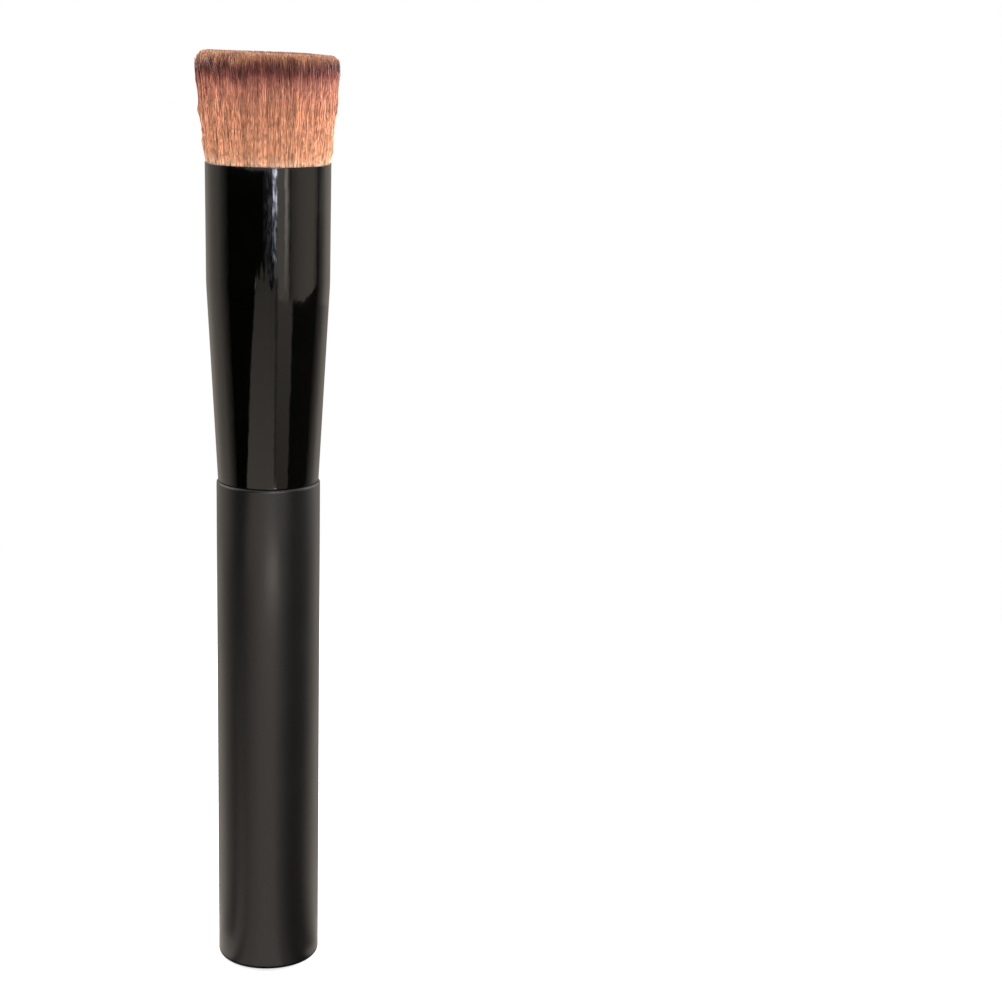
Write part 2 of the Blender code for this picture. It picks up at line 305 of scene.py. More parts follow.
def shining_paper(name, foil_grain=None, colour="#FFFFFF"):
    """Paper that glows as its glow attribute says. With a foil grain it glitters."""
    material, tree = new_material(name)
    glow = add_node(tree, "ShaderNodeAttribute", attribute_name=GLOW)
    strength = glow.outputs["Fac"]
    if foil_grain is not None:
        place = add_node(tree, "ShaderNodeTexCoord")
        crumple = add_node(
            tree,
            "ShaderNodeTexNoise",
            {"Vector": place.outputs["Object"], "Scale": per_metre(foil_grain), "Detail": 1.0},
        )
        glitter = add_node(
            tree,
            "ShaderNodeMapRange",
            {
                "Value": crumple.outputs["Fac"],
                "From Min": 0.46,
                "From Max": 0.64,
                "To Min": 0.08,
                "To Max": 1.0,
            },
        )
        lit = add_node(
            tree, "ShaderNodeMath", {0: strength, 1: glitter.outputs["Result"]}, operation="MULTIPLY"
        )
        strength = lit.outputs[0]
    shine = add_node(tree, "ShaderNodeEmission", {"Color": linear(colour), "Strength": strength})
    return finished(material, shine)


plain_paper = shining_paper("card_paper", colour="#FFF3E6")
foil = shining_paper("crumpled_foil", foil_grain=1.5 * MM, colour="#EAEEFF")

# %% A helper that stands one card
CARD_RADIUS = 40 * MM
CARD_COLUMNS = 72
CARD_ROWS = 24
LYING = [(7.0 * MM, 0.0), (8.0 * MM, 0.0), (8.35 * MM, 1.0)]
SHEET = 0.002 * MM
BOW_POWER = 5


def card(
    name, left, right, low, high, glow, top_glow=None, middle_glow=None, fade_left=0, fade_right=0,
    low_left=None, low_bow=0, prongs=(), radius=CARD_RADIUS, paper=plain_paper,
):
    """A curved card between two azimuths and two heights, which only reflections see.

    Azimuth 0 is the camera's side. The glow may change from the foot to the top and towards the middle,
    and fade to black at an upright edge. low_left slants the left edge, low_bow lifts the foot towards the
    right, and each prong (azimuth, half width, rise) lifts the top edge to a point. A card whose foot is on
    the floor also lies on the floor: LYING gives how far from the axis its first rows are, and their share
    of the glow, so it goes dark just before the brush. That dark is painted shade, the brush's shadow at its
    foot as the reflections would see it. Cards of unlike radius lie a sheet or more apart.
    """
    top_glow = glow if top_glow is None else top_glow
    low_left = left if low_left is None else low_left
    layer = (CARD_RADIUS - radius) / MM
    cells = bmesh.new()
    bmesh.ops.create_grid(cells, x_segments=CARD_COLUMNS, y_segments=CARD_ROWS, size=1.0)
    strength = cells.verts.layers.float.new(GLOW)
    for vert in cells.verts:
        across = (vert.co.x + 1) / 2
        up = (vert.co.y + 1) / 2
        edge = low_left + (left - low_left) * up
        azimuth = edge + (right - edge) * across
        shine = glow + (top_glow - glow) * up
        if middle_glow is not None:
            shine += (middle_glow - shine) * (1 - (2 * across - 1) ** 2)
        if fade_left:
            shine *= min((azimuth - edge) / fade_left, 1)
        if fade_right:
            shine *= min((right - azimuth) / fade_right, 1)
        foot = low + low_bow * across**BOW_POWER
        head = high + sum(rise * max(1 - abs(azimuth - where) / half, 0) for where, half, rise in prongs)
        reach = radius
        height = foot + (head - foot) * up
        row = round(up * CARD_ROWS)
        # Painted shade: the rows that lie nearest the brush are dimmed to stand for the brush's shadow at its
        # foot.
        if low == 0 and row < len(LYING):
            reach, dimming = LYING[row]
            height = SHEET * (2 + layer)
            shine *= dimming
        elif low == 0:
            height = head * (row - len(LYING)) / (CARD_ROWS - len(LYING)) + SHEET * (3 + layer)
        turn = math.radians(azimuth)
        vert.co = (math.sin(turn) * reach, -math.cos(turn) * reach, height)
        vert[strength] = shine
    made = link_mesh(name, cells, paper)
    made.visible_camera = False
    made.visible_diffuse = False
    made.visible_transmission = False
    made.visible_shadow = False
    made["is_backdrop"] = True
    print(name, "from", left, "to", right, "degrees,", round(low / MM), "to", round(high / MM), "mm up")


# %% Stand the cards round the brush
STEP = 60 * MM
SHOULDER = 97.2 * MM
FLAG_FOOT = 104 * MM
SPARK_TAIL = 107.5 * MM
SPARK = 115 * MM
CARD_TOP = 126 * MM
BACK_CARD_TOP = CARD_TOP + 4.5 * MM
RING_HEIGHT = 0.1 * MM
INNER = CARD_RADIUS - MM
OUTER = CARD_RADIUS + MM
PRONGS = [(-17.5, 2.4, 2.2 * MM), (-10.5, 2.4, 4.0 * MM), (-3.0, 2.6, 5.5 * MM), (5.0, 3.2, -3.5 * MM)]

card("left_lower_wall", -180, -70, 0, STEP, 1.25, top_glow=0.88, fade_left=60, fade_right=54)
card("left_foot_glow", -180, -50, 0, RING_HEIGHT, 1.0, fade_right=8, radius=14 * MM)
card("right_foot_glow", 54, 180, 0, RING_HEIGHT, 1.0, fade_left=12, radius=10 * MM)
card("left_upper_wall", -180, -69, STEP, CARD_TOP, 0.72, top_glow=0.62, fade_left=48, fade_right=26)
card("left_upper_flag", -70, -10, FLAG_FOOT, CARD_TOP, 0.0)
card("front_gap_flag", -12, 9, SHOULDER, CARD_TOP, 0.0, radius=OUTER)
card("front_dim_foil", -9, 7, FLAG_FOOT, CARD_TOP, 0.7, top_glow=1.1, fade_left=9, fade_right=1, paper=foil)
card("left_slanted_flag", -70, -22, STEP, FLAG_FOOT, 0.0)
card("left_lower_flag", -70, -48, 0, STEP, 0.85, top_glow=0.0)
card(
    "front_card", -19.5, 11, STEP, FLAG_FOOT, 0.98, top_glow=0.5,
    fade_left=2.5, low_left=-49, prongs=PRONGS, radius=INNER,
)
card("front_left_lower_card", -50, -22, 0, STEP, 0.8, top_glow=0.6, fade_left=12)
card("front_lower_card", -22, 18, 0, STEP, 0.98, top_glow=1.0)
card("handle_strip", -3, 17, 56.5 * MM, 61.5 * MM, 6.5, radius=INNER)
card("front_seam_card", 10, 16, STEP, SHOULDER + 7 * MM, 0.42, top_glow=0.34)
card("front_right_card", 16, 43, STEP, SHOULDER, 0.44, top_glow=0.7, fade_right=3)
card("front_right_lower_card", 18, 43, 0, STEP, 0.38, top_glow=0.5, fade_right=18)
card("key_card", 12, 36, SHOULDER, CARD_TOP, 1.2, top_glow=1.3, low_left=20, fade_right=3)
card("spark_strip", 7.0, 14, SPARK, CARD_TOP, 4.0, top_glow=30.0, radius=INNER, paper=foil)
card("spark_tail", 6.5, 14, SPARK_TAIL, SPARK, 4.5, top_glow=4.0, radius=INNER, paper=foil)
card("spark_line", 26.5, 31, SHOULDER, CARD_TOP, 1.0, top_glow=3.8, radius=INNER)
card("right_soft_box", 36, 98, SHOULDER, CARD_TOP, 0.4, middle_glow=0.95, fade_right=16, low_bow=10 * MM)
card("right_flag", 43, 98, 0, SHOULDER, 0.03)
card("right_flag_top", 66, 100, SHOULDER - 3 * MM, SHOULDER + 12 * MM, 0.03, radius=OUTER)
card(
    "right_lower_wall", 90, 180, 0, SHOULDER, 1.1, top_glow=0.7,
    fade_left=39, fade_right=60, low_left=69, radius=INNER,
)
card(
    "right_upper_wall", 91, 180, SHOULDER, BACK_CARD_TOP, 0.74,
    fade_left=27, fade_right=54, radius=INNER,
)

# %% [markdown]
# ## The turned shells
#
# The handle's sleeve and the ferrule are round. A cylinder with bevelled edges could pass for the sleeve,
# but not for the ferrule with its cone. So each is one outline, of its outside and its wall's inside
# together, spun once round the brush's axis. The measured solids have sixty-four flat sides. Here the spin
# takes many more steps, and each edge that a drawn and tumbled tube would have rounded is an arc, so that
# the highlights run round it without a break.


# %% A helper that rounds an outline
ARC_STEPS = 6


def rounded(corners):
    """Outline points from (radius, height, rounding) corners. The outline is a closed loop."""
    points = []
    for number, (radius, height, rounding) in enumerate(corners):
        corner = Vector((radius, height))
        if rounding == 0:
            points.append(corner)
            continue
        to_last = (Vector(corners[number - 1][:2]) - corner).normalized()
        to_next = (Vector(corners[(number + 1) % len(corners)][:2]) - corner).normalized()
        half = to_last.angle(to_next) / 2
        centre = corner + (to_last + to_next).normalized() * rounding / math.sin(half)
        start = corner + to_last * rounding / math.tan(half) - centre
        sweep = start.angle_signed(corner + to_next * rounding / math.tan(half) - centre)
        for step in range(ARC_STEPS + 1):
            turned = start.copy()
            turned.rotate(Matrix.Rotation(-sweep * step / ARC_STEPS, 2))
            points.append(centre + turned)
    return points


print("a rounded corner has", ARC_STEPS + 1, "points")

# %% A helper that spins an outline
SPIN_STEPS = 256
WELD = 0.002 * MM
SHARP_EDGE = math.radians(40)


def turned_shell(name, corners, material, slot, *nodes):
    """Spins a closed outline into a shell that stands for one or more measured nodes."""
    work = bmesh.new()
    points = rounded(corners)
    verts = [work.verts.new((point.x, 0, point.y)) for point in points]
    edges = [work.edges.new((verts[i - 1], verts[i])) for i in range(len(verts))]
    bmesh.ops.spin(
        work, geom=verts + edges, cent=(0, 0, 0), axis=(0, 0, 1), angle=2 * math.pi, steps=SPIN_STEPS,
        use_merge=True,
    )
    bmesh.ops.remove_doubles(work, verts=work.verts, dist=WELD)
    bmesh.ops.recalc_face_normals(work, faces=work.faces)
    shell = link_mesh(name, work, material, smooth=True)
    shell.data.set_sharp_from_angle(angle=SHARP_EDGE)
    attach(shell, "root")
    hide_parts(*nodes)
    print(name, len(shell.data.polygons), "faces")


# %% [markdown]
# ## Soft black anodising on the handle
#
# The sleeve is drawn aluminium with a matt black finish. Fine blasting before the dye gives a grain that is
# felt more than seen, so the bump is slight, and it spreads the reflection of the lamps into broad bands.
# One even dark grey would look like plastic, so the roughness also changes a little from place to place, as
# handling leaves it.
#
# In the picture the metal is a sixtieth wider than the measured solids, so both shells are that much wider.
# The sleeve's foot is rounded where the cup was drawn, and its mouth is rounded too, so the joint with the
# ferrule shows as a fine groove.


# %% Material of the handle
BLAST_GRAIN = 0.12 * MM
HANDLING_PATCH = 9 * MM


def matt_black_anodised_aluminium():
    """Blasted and dyed aluminium: nearly black, with a wide soft highlight."""
    material, tree = new_material("matt_black_anodised_aluminium")
    place = add_node(tree, "ShaderNodeTexCoord")
    grain = add_node(
        tree,
        "ShaderNodeTexNoise",
        {"Vector": place.outputs["Object"], "Scale": per_metre(BLAST_GRAIN), "Detail": 2.0},
    )
    patches = add_node(
        tree,
        "ShaderNodeTexNoise",
        {"Vector": place.outputs["Object"], "Scale": per_metre(HANDLING_PATCH), "Detail": 3.0},
    )
    roughness = add_node(
        tree,
        "ShaderNodeMapRange",
        {"Value": patches.outputs["Fac"], "From Min": 0.3, "From Max": 0.7, "To Min": 0.31, "To Max": 0.37},
    )
    tint = add_node(
        tree,
        "ShaderNodeMix",
        {"Factor": grain.outputs["Fac"], 6: linear("#0A0909"), 7: linear("#110F0E")},
        data_type="RGBA",
    )
    bump = add_node(
        tree,
        "ShaderNodeBump",
        {"Height": grain.outputs["Fac"], "Strength": 0.25, "Distance": 0.01 * MM},
    )
    surface = add_node(
        tree,
        "ShaderNodeBsdfPrincipled",
        {
            "Base Color": tint.outputs[2],
            "Roughness": roughness.outputs["Result"],
            "Normal": bump.outputs["Normal"],
            "IOR": 1.5,
        },
    )
    return finished(material, surface)


# %% Turn the handle's sleeve
WIDENING = 1.017
SLEEVE_WALL = 0.8 * MM
SLEEVE_FLOOR = 1.2 * MM
SLEEVE_FOOT_ROUNDING = 0.9 * MM
SLEEVE_MOUTH_ROUNDING = 0.5 * MM
SEAM = 0.02 * MM

sleeve_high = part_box("handle_sleeve")[1]
ferrule_low, ferrule_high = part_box("ferrule")
sleeve_radius = sleeve_high.x * WIDENING
sleeve_bore = sleeve_high.x - SLEEVE_WALL
sleeve_top = ferrule_low.z - SEAM
turned_shell(
    "handle_shell",
    [
        (0, 0, 0),
        (sleeve_radius, 0, SLEEVE_FOOT_ROUNDING),
        (sleeve_radius, sleeve_top, SLEEVE_MOUTH_ROUNDING),
        (sleeve_bore, sleeve_top, 0),
        (sleeve_bore, SLEEVE_FLOOR, 0),
        (0, SLEEVE_FLOOR, 0),
    ],
    matt_black_anodised_aluminium(),
    "handle",
    "handle_sleeve",
)

# %% [markdown]
# ## Gloss black lacquer on the ferrule
#
# The ferrule is thin aluminium tube, drawn to a cone at its foot and sprayed with black lacquer. A clear
# coat over a grey metal would mirror as well but look grey, so the base is black and only its surface
# reflects. It is never quite flat: long shallow waves from the drawing, up and down the tube, break a thin
# reflection into a wavering line.


# %% Material of the ferrule
WAVE_WIDTH = 1.3 * MM
WAVE_STRETCH = 2.0
HAZE_PATCH = 5 * MM


def gloss_black_lacquer():
    """Sprayed black lacquer: a black base, a sharp reflection and slow waves."""
    material, tree = new_material("gloss_black_lacquer")
    place = add_node(tree, "ShaderNodeTexCoord")
    stretched = add_node(
        tree,
        "ShaderNodeMapping",
        {"Vector": place.outputs["Object"], "Scale": (1.0, 1.0, 1.0 / WAVE_STRETCH)},
    )
    waves = add_node(
        tree,
        "ShaderNodeTexNoise",
        {"Vector": stretched.outputs["Vector"], "Scale": per_metre(WAVE_WIDTH), "Detail": 2.0},
    )
    haze = add_node(
        tree,
        "ShaderNodeTexNoise",
        {"Vector": place.outputs["Object"], "Scale": per_metre(HAZE_PATCH), "Detail": 4.0},
    )
    roughness = add_node(
        tree,
        "ShaderNodeMapRange",
        {"Value": haze.outputs["Fac"], "From Min": 0.3, "From Max": 0.7, "To Min": 0.05, "To Max": 0.09},
    )
    tint = add_node(
        tree,
        "ShaderNodeMix",
        {"Factor": haze.outputs["Fac"], 6: linear("#010101"), 7: linear("#030302")},
        data_type="RGBA",
    )
    bump = add_node(
        tree,
        "ShaderNodeBump",
        {"Height": waves.outputs["Fac"], "Strength": 1.0, "Distance": 0.022 * MM},
    )
    surface = add_node(
        tree,
        "ShaderNodeBsdfPrincipled",
        {
            "Base Color": tint.outputs[2],
            "Roughness": roughness.outputs["Result"],
            "Normal": bump.outputs["Normal"],
            "IOR": 1.5,
        },
    )
    return finished(material, surface)


# %% Turn the ferrule
FOOT_RADIUS = 7.42 * MM * WIDENING
SHOULDER_RADIUS = 8.97 * MM * WIDENING
CONE_LENGTH = 29.7 * MM
SHOULDER_ROUNDING = 30 * MM
FERRULE_WALL = 0.5 * MM
FOOT_WALL = 0.75 * MM
FOOT_ROUNDING = 0.15 * MM
LIP_DROP = 0.25 * MM
LIP_ROUNDING = 0.05 * MM

mouth_radius = ferrule_high.x * WIDENING
foot_height = ferrule_low.z
mouth_height = ferrule_high.z
shoulder_height = foot_height + CONE_LENGTH
turned_shell(
    "ferrule_shell",
    [
        (FOOT_RADIUS, foot_height, FOOT_ROUNDING),
        (SHOULDER_RADIUS, shoulder_height, SHOULDER_ROUNDING),
        (mouth_radius, mouth_height, LIP_ROUNDING),
        (mouth_radius - FERRULE_WALL, mouth_height - LIP_DROP, 0),
        (SHOULDER_RADIUS - FERRULE_WALL, shoulder_height, 0),
        (FOOT_RADIUS - FOOT_WALL, foot_height, 0),
    ],
    gloss_black_lacquer(),
    "ferrule",
    "ferrule",
)

# %% [markdown]
# ## The cured glue plug
#
# The fibres are set in a bath of epoxy inside the ferrule. It cures to one hard amber plug, a little dished
# at the top where it crept up the wall and between the fibres. It hardly shows, but it is what holds the
# brush together, and without it light would leak in round the roots. It is turned like the shells, because
# it fills a round tube.


# %% Material of the plug
CLOUD = 0.6 * MM


def cured_epoxy():
    """Cured amber epoxy: glossy, a little cloudy, with a faint ripple where it set."""
    material, tree = new_material("cured_amber_epoxy")
    place = add_node(tree, "ShaderNodeTexCoord")
    cloud = add_node(
        tree,
        "ShaderNodeTexNoise",
        {"Vector": place.outputs["Object"], "Scale": per_metre(CLOUD), "Detail": 3.0},
    )
    tint = add_node(
        tree,
        "ShaderNodeMix",
        {"Factor": cloud.outputs["Fac"], 6: linear("#3A2114"), 7: linear("#6B4020")},
        data_type="RGBA",
    )
    bump = add_node(
        tree,
        "ShaderNodeBump",
        {"Height": cloud.outputs["Fac"], "Strength": 0.5, "Distance": 0.03 * MM},
    )
    surface = add_node(
        tree,
        "ShaderNodeBsdfPrincipled",
        {"Base Color": tint.outputs[2], "Roughness": 0.22, "Normal": bump.outputs["Normal"], "IOR": 1.55},
    )
    return finished(material, surface)


# %% Pour the plug
PLUG_DEPTH = 0.9 * MM
PLUG_DISH = 0.25 * MM
SECTORS = 12

fibre_nodes = ["centre_tuft"] + [f"bristle_sector_{number:02d}" for number in range(1, SECTORS + 1)]
plug_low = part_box("bristle_sector_01")[0].z
plug_top = mouth_height - PLUG_DEPTH
turned_shell(
    "cured_glue_plug",
    [
        (0, plug_low, 0),
        (SHOULDER_RADIUS - FERRULE_WALL, plug_low, 0),
        (mouth_radius - FERRULE_WALL, plug_top, 0),
        (0, plug_top - PLUG_DISH, 0),
    ],
    cured_epoxy(),
    "fibre",
    *fibre_nodes,
)

# %% [markdown]
# ## The parts inside
#
# Three measured pieces are sealed in the brush and keep their own shape: the moulded core that fills the
# sleeve, the steel slug in its foot that makes the brush stand, and the wire ring that binds the bundle. They
# get the finish that each would have if the brush were taken apart. The core is black, because the seam
# between handle and ferrule, where it would show, is dark. The lathe leaves rings on the steel about 0.15 mm
# apart, too fine to see, so they are drawn six times as far apart. One material serves both steel pieces.


# %% Material of the core
MOULD_GRAIN = 0.4 * MM
FLOW_STREAK = 6 * MM


def moulded_abs():
    """Moulded black ABS: matt, with slow flow streaks and the grain of the mould."""
    material, tree = new_material("moulded_black_abs")
    place = add_node(tree, "ShaderNodeTexCoord")
    streaks = add_node(
        tree,
        "ShaderNodeTexNoise",
        {
            "Vector": place.outputs["Object"],
            "Scale": per_metre(FLOW_STREAK),
            "Detail": 3.0,
            "Distortion": 0.6,
        },
    )
    grain = add_node(
        tree,
        "ShaderNodeTexNoise",
        {"Vector": place.outputs["Object"], "Scale": per_metre(MOULD_GRAIN), "Detail": 2.0},
    )
    tint = add_node(
        tree,
        "ShaderNodeMix",
        {"Factor": streaks.outputs["Fac"], 6: linear("#121212"), 7: linear("#1B1B1A")},
        data_type="RGBA",
    )
    bump = add_node(
        tree, "ShaderNodeBump", {"Height": grain.outputs["Fac"], "Strength": 0.3, "Distance": 0.02 * MM}
    )
    surface = add_node(
        tree,
        "ShaderNodeBsdfPrincipled",
        {"Base Color": tint.outputs[2], "Roughness": 0.5, "Normal": bump.outputs["Normal"], "IOR": 1.54},
    )
    return finished(material, surface)


# %% Material of the steel
RING_SPACING = 0.9425 * MM
BAR_TONE = 2 * MM
# How far apart the bands of a wave texture lie at a scale of 1.
BAND_SPACING = 2 * math.pi / 20


def turned_steel():
    """Bright steel from the lathe: fine rings along its length, and a faint change of tone between bars."""
    material, tree = new_material("turned_bright_steel")
    place = add_node(tree, "ShaderNodeTexCoord")
    rings = add_node(
        tree,
        "ShaderNodeTexWave",
        {"Vector": place.outputs["Object"], "Scale": BAND_SPACING / RING_SPACING, "Distortion": 0.4},
        bands_direction="Z",
    )
    tone = add_node(
        tree,
        "ShaderNodeTexNoise",
        {"Vector": place.outputs["Object"], "Scale": per_metre(BAR_TONE), "Detail": 2.0},
    )
    tint = add_node(
        tree,
        "ShaderNodeMix",
        {"Factor": tone.outputs["Fac"], 6: linear("#BEBEC0"), 7: linear("#D2D2D3")},
        data_type="RGBA",
    )
    roughness = add_node(
        tree,
        "ShaderNodeMapRange",
        {"Value": rings.outputs["Fac"], "To Min": 0.22, "To Max": 0.34},
    )
    bump = add_node(
        tree, "ShaderNodeBump", {"Height": rings.outputs["Fac"], "Strength": 0.4, "Distance": 0.01 * MM}
    )
    surface = add_node(
        tree,
        "ShaderNodeBsdfPrincipled",
        {
            "Base Color": tint.outputs[2],
            "Metallic": 1.0,
            "Roughness": roughness.outputs["Result"],
            "Normal": bump.outputs["Normal"],
        },
    )
    return finished(material, surface)


# %% Finish the parts inside
steel = turned_steel()
for node, material in (("handle_core", moulded_abs()), ("balance_weight", steel), ("binding_ring", steel)):
    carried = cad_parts[node].data
    carried.materials.clear()
    carried.materials.append(material)
    print(node, "is", material.name)

# %% [markdown]
# ## The fibres' colour
#
# The fibres are nylon, dyed copper brown for most of their length and dark brown for the last few
# millimetres, with paler tips. The pale cream just above the root is a painted highlight, where the fibres
# swell over the ferrule's lip, and the paler tips are partly painted light on the cut ends. A pattern in
# space
# couldn't do this, because the fibres lean and end at unlike heights. So each fibre carries its own map:
# across it runs the shade of that fibre, and along it the height of the dye, and one material can colour
# every fibre from root to tip, however it leans. The fine crimp of the nylon shows as short glints along
# each fibre: a slight bump, and a painted highlight that brightens and darkens the colour in short dashes.
# Its surface mirrors a little less than a sheet of nylon would, because fibres that stand this close shade
# each other's shine.

# %% The dye and painted light from root to tip
HEAD_HEIGHT = 16.38 * MM
ROOT_DEPTH = 1.2 * MM
FIBRE_LENGTH = HEAD_HEIGHT + ROOT_DEPTH
# Painted light at both ends of the scale: the first three colours, pale cream, are a painted highlight where
# the fibres swell over the lip, and the last two, paler browns, are partly painted light on the cut ends.
DYE_AND_PAINTED_LIGHT_SCALE = [
    (0.0, "#F2CEAD"),
    (0.07, "#E6BA99"),
    (0.105, "#D39D7D"),
    (0.16, "#CF926F"),
    (0.42, "#CF8E6D"),
    (0.52, "#C68667"),
    (0.66, "#BD7C64"),
    (0.73, "#AE6E5B"),
    (0.78, "#8F5144"),
    (0.823, "#693A35"),
    (0.862, "#6B3B32"),
    (0.898, "#865342"),
    (0.942, "#AA7858"),
]
print("a fibre is", round(FIBRE_LENGTH / MM, 1), "mm long, in", len(DYE_AND_PAINTED_LIGHT_SCALE), "colours")

# %% Material of the fibres
SHADES = 64
FIBRE_MAP = "OFBake"
DYE_RAGGEDNESS = 0.8 * MM
CRIMP_LENGTH = 0.9 * MM
CRIMP_RELIEF = 0.4 * MM
# How far apart in the noise the crimps of two shades are read, so that no two are alike.
CRIMP_APART = 7.3


def dyed_nylon_with_painted_light():
    """Dyed nylon: satin, copper brown for most of its length, dark near the tip, each fibre a shade of its
    own. The cream at the root, part of the paler tips and the short glints are painted light.
    """
    material, tree = new_material("dyed_crimped_nylon_with_painted_light")
    fibre_map = add_node(tree, "ShaderNodeUVMap", uv_map=FIBRE_MAP)
    parts = add_node(tree, "ShaderNodeSeparateXYZ", {"Vector": fibre_map.outputs["UV"]})
    column = add_node(
        tree, "ShaderNodeMath", {0: parts.outputs["X"], 1: float(SHADES)}, operation="MULTIPLY"
    )
    number = add_node(tree, "ShaderNodeMath", {0: column.outputs[0]}, operation="FLOOR")
    shade = add_node(tree, "ShaderNodeTexWhiteNoise", {"W": number.outputs[0]}, noise_dimensions="1D")
    own = add_node(tree, "ShaderNodeSeparateColor", {"Color": shade.outputs["Color"]})
    ragged = DYE_RAGGEDNESS / FIBRE_LENGTH / 2
    shift = add_node(
        tree,
        "ShaderNodeMapRange",
        {"Value": own.outputs["Red"], "To Min": -ragged, "To Max": ragged},
    )
    dye_line = add_node(
        tree, "ShaderNodeMath", {0: parts.outputs["Y"], 1: shift.outputs["Result"]}, operation="ADD"
    )
    dye = add_node(tree, "ShaderNodeValToRGB", {"Fac": dye_line.outputs[0]})
    ramp = dye.color_ramp
    while len(ramp.elements) < len(DYE_AND_PAINTED_LIGHT_SCALE):
        ramp.elements.new(0.5)
    for element, (where, colour) in zip(ramp.elements, DYE_AND_PAINTED_LIGHT_SCALE):
        element.position = where
        element.color = linear(colour)
    along = add_node(
        tree,
        "ShaderNodeMath",
        {0: parts.outputs["Y"], 1: FIBRE_LENGTH / CRIMP_LENGTH},
        operation="MULTIPLY",
    )
    apart = add_node(tree, "ShaderNodeMath", {0: number.outputs[0], 1: CRIMP_APART}, operation="MULTIPLY")
    crimp_place = add_node(tree, "ShaderNodeCombineXYZ", {"X": apart.outputs[0], "Y": along.outputs[0]})
    crimp = add_node(
        tree,
        "ShaderNodeTexNoise",
        {"Vector": crimp_place.outputs["Vector"], "Scale": 1.0, "Detail": 1.0},
        noise_dimensions="2D",
    )
    # Painted highlight: the crimp noise brightens and darkens the dyed colour in short glints, as the lamps
    # would catch the crimps.
    painted_glint = add_node(
        tree,
        "ShaderNodeMapRange",
        {"Value": crimp.outputs["Fac"], "From Min": 0.3, "From Max": 0.7, "To Min": 0.74, "To Max": 1.4},
    )
    own_brightness = add_node(
        tree,
        "ShaderNodeMapRange",
        {"Value": own.outputs["Green"], "To Min": 0.66, "To Max": 1.3},
    )
    brightness = add_node(
        tree,
        "ShaderNodeMath",
        {0: own_brightness.outputs["Result"], 1: painted_glint.outputs["Result"]},
        operation="MULTIPLY",
    )
    dyed = add_node(
        tree,
        "ShaderNodeHueSaturation",
        {"Color": dye.outputs["Color"], "Value": brightness.outputs[0]},
    )
    bump = add_node(
        tree,
        "ShaderNodeBump",
        {"Height": crimp.outputs["Fac"], "Strength": 1.0, "Distance": CRIMP_RELIEF},
    )
    surface = add_node(
        tree,
        "ShaderNodeBsdfPrincipled",
        {
            "Base Color": dyed.outputs["Color"],
            "Roughness": 0.37,
            "IOR": 1.34,
            "Normal": bump.outputs["Normal"],
        },
    )
    return finished(material, surface)


# %% [markdown]
# ## How a fibre runs
#
# All the fibres leave the ferrule as one round bundle, swell over its lip and flare until the cut. So a
# fibre's path follows from one number, how far out its root is: 0 at the edge of the well and 1 at the
# outside of the bundle. Outside the well it runs along the flared form of the head. Under the well, where
# the number is below 0, it is cut short, and its tip is part of the floor. Cutting the well out of a solid
# head would leave no tips to see. The cut is not quite level: it drops a little to the right and to the
# back, and it is rounded at the rim, a little less so on the right.

# %% The form of the head
BUNDLE_RADIUS = 8.6 * MM
WELL_ROOT_RADIUS = 3.95 * MM
WELL_MOUTH_RADIUS = 4.7 * MM
HEAD_FORM = [
    (-1.2, 8.65),
    (0.0, 8.95),
    (0.5, 9.20),
    (2.0, 9.28),
    (4.5, 9.53),
    (7.0, 9.80),
    (9.5, 10.04),
    (12.0, 10.22),
    (13.6, 10.32),
    (16.3, 10.32),
]
form_heights = [height * MM for height, _ in HEAD_FORM]
form_radii = [radius * MM for _, radius in HEAD_FORM]


def how_far_out(radius):
    """0 for a root at the edge of the well and 1 for one at the outside of the bundle."""
    return (radius - WELL_ROOT_RADIUS) / (BUNDLE_RADIUS - WELL_ROOT_RADIUS)


def form_radius(height, outward):
    """Distance from the axis of a fibre at a height above the lip."""
    outer = float(np.interp(height, form_heights, form_radii))
    inner = WELL_ROOT_RADIUS + (WELL_MOUTH_RADIUS - WELL_ROOT_RADIUS) * (height + ROOT_DEPTH) / FIBRE_LENGTH
    return inner + (outer - inner) * outward


print("the head flares", round((form_radii[-1] - form_radii[0]) / MM, 2), "mm in radius")

# %% The cut of the head
SIDE_SLANT = 0.72 * MM
BACK_SLANT = 0.85 * MM
RIM_ROUNDING = 1.6 * MM
RIM_ROUNDING_SWING = -0.25 * MM
WELL_LIP_ROUNDING = 1.0 * MM
WELL_LIP_DROP = 0.7


def cut_height(angle, outward):
    """Height of the cut above the lip outside the well. The angle runs from the right to the back."""
    rounding = RIM_ROUNDING + RIM_ROUNDING_SWING * math.cos(angle)
    ring = form_radii[-1] - WELL_MOUTH_RADIUS
    from_rim = min((1 - outward) * ring / rounding, 1)
    from_well = min(outward * ring / WELL_LIP_ROUNDING, 1)
    rim_drop = rounding * (1 - math.sqrt(1 - (1 - from_rim) ** 2))
    well_drop = WELL_LIP_ROUNDING * (1 - math.sqrt(1 - (1 - from_well) ** 2))
    to_side = SIDE_SLANT * (0.5 + 0.5 * outward * math.cos(angle))
    to_back = BACK_SLANT * (0.5 + 0.5 * outward * math.sin(angle))
    return HEAD_HEIGHT - to_side - to_back - rim_drop - WELL_LIP_DROP * well_drop


for side, angle in (("right", 0), ("back", 90), ("left", 180), ("front", 270)):
    print(side, "of the cut", round(cut_height(math.radians(angle), 0.5) / MM, 2), "mm above the lip")
